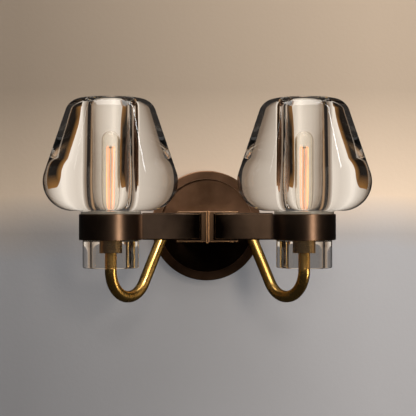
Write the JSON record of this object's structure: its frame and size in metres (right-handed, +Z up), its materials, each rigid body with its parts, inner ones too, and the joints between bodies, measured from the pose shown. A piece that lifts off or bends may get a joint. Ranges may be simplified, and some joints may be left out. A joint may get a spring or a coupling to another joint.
{
  "type": "double arm wall sconce",
  "caption": "Wall light with flat bronze arms, bent brass tubes and thick clear glass shades that stand in rings round tubular lamps.",
  "frame": {"origin": "middle of the strap's slots on the wall plane, which is also the middle of the canopy's open back", "axes": "+X to the right seen from the room, +Y into the wall, +Z up; the light stands out towards -Y"},
  "size_m": [0.353, 0.1774, 0.221],
  "materials": {
    "canopy_bronze": "brushed oil-rubbed bronze, semi-gloss",
    "tee_bronze": "dark bronze, semi-gloss",
    "arm_bronze": "dark bronze, semi-gloss",
    "ring_bronze": "dark bronze, semi-gloss",
    "screw_bronze": "dark bronze",
    "zinc_steel": "zinc plated",
    "screw_steel": "plated steel",
    "connector_plastic": "moulded",
    "clear_seat": "clear soft silicone",
    "shade_glass": "clear solid cast glass, polished",
    "tube_brass": "antique brass, satin",
    "cup_brass": "antique brass, satin",
    "lead_jacket": "smooth jacket",
    "socket_plastic": "moulded",
    "socket_metal": "pressed sheet",
    "lamp_cap_metal": "pressed, nickel plated",
    "lamp_insulator": "black glass",
    "lamp_solder": "solder",
    "lamp_glass": "clear",
    "lamp_stem_glass": "clear, slightly grey",
    "filament_wire": "hot filament, glowing orange",
    "holder_wire": "fine wire"
  },
  "bodies": {
    "fixed": {"canopy": "canopy_bronze", "mounting_strap": "zinc_steel", "canopy_screw_left": "screw_bronze", "canopy_screw_right": "screw_bronze", "tee_block": "tee_bronze", "tee_screw_lower_left": "screw_steel", "tee_screw_lower_right": "screw_steel", "tee_screw_upper_left": "screw_steel", "tee_screw_upper_right": "screw_steel", "wire_connector_upper": "connector_plastic", "wire_connector_lower": "connector_plastic", "left_arm": "arm_bronze", "left_arm_screw_lower": "screw_steel", "left_arm_screw_upper": "screw_steel", "left_ring": "ring_bronze", "left_ring_screw": "screw_steel", "left_seat": "clear_seat", "left_tube": "tube_brass", "left_cup_nipple": "zinc_steel", "left_canopy_nipple": "zinc_steel", "left_cup_nut": "zinc_steel", "left_canopy_nut": "zinc_steel", "left_lead": "lead_jacket", "left_cup": "cup_brass", "left_socket_body": "socket_plastic", "left_socket_shell": "socket_metal", "left_socket_contact": "socket_metal", "right_arm": "arm_bronze", "right_arm_screw_lower": "screw_steel", "right_arm_screw_upper": "screw_steel", "right_ring": "ring_bronze", "right_ring_screw": "screw_steel", "right_seat": "clear_seat", "right_tube": "tube_brass", "right_cup_nipple": "zinc_steel", "right_canopy_nipple": "zinc_steel", "right_cup_nut": "zinc_steel", "right_canopy_nut": "zinc_steel", "right_lead": "lead_jacket", "right_cup": "cup_brass", "right_socket_body": "socket_plastic", "right_socket_shell": "socket_metal", "right_socket_contact": "socket_metal"},
    "left_shade": {"left_shade": "shade_glass"},
    "left_lamp_lift": {"left_lamp_contact": "lamp_solder"},
    "left_lamp": {"left_lamp_envelope": "lamp_glass", "left_lamp_cap": "lamp_cap_metal", "left_lamp_insulator": "lamp_insulator", "left_lamp_stem": "lamp_stem_glass", "left_filament": "filament_wire", "left_filament_holder": "holder_wire"},
    "right_shade": {"right_shade": "shade_glass"},
    "right_lamp_lift": {"right_lamp_contact": "lamp_solder"},
    "right_lamp": {"right_lamp_envelope": "lamp_glass", "right_lamp_cap": "lamp_cap_metal", "right_lamp_insulator": "lamp_insulator", "right_lamp_stem": "lamp_stem_glass", "right_filament": "filament_wire", "right_filament_holder": "holder_wire"}
  },
  "joints": [
    {"name": "left_shade_lift", "type": "slide", "parent": "fixed", "child": "left_shade", "axis": [0, 0, 1], "range_m": [0, 0.15]},
    {"name": "left_lamp_rise", "type": "slide", "parent": "fixed", "child": "left_lamp_lift", "axis": [0, 0, 1], "range_m": [0, 0.0141]},
    {"name": "left_lamp_turn", "type": "hinge", "parent": "left_lamp_lift", "child": "left_lamp", "pos_m": [-0.1041, -0.105, 0], "axis": [0, 0, 1], "range_deg": [0, 1984.3]},
    {"name": "right_shade_lift", "type": "slide", "parent": "fixed", "child": "right_shade", "axis": [0, 0, 1], "range_m": [0, 0.15]},
    {"name": "right_lamp_rise", "type": "slide", "parent": "fixed", "child": "right_lamp_lift", "axis": [0, 0, 1], "range_m": [0, 0.0141]},
    {"name": "right_lamp_turn", "type": "hinge", "parent": "right_lamp_lift", "child": "right_lamp", "pos_m": [0.1041, -0.105, 0], "axis": [0, 0, 1], "range_deg": [0, 1984.3]}
  ],
  "couplings": [
    {"joint": "left_lamp_rise", "follows": "left_lamp_turn", "m_per_rad": 0.00040425},
    {"joint": "right_lamp_rise", "follows": "right_lamp_turn", "m_per_rad": 0.00040425}
  ]
}
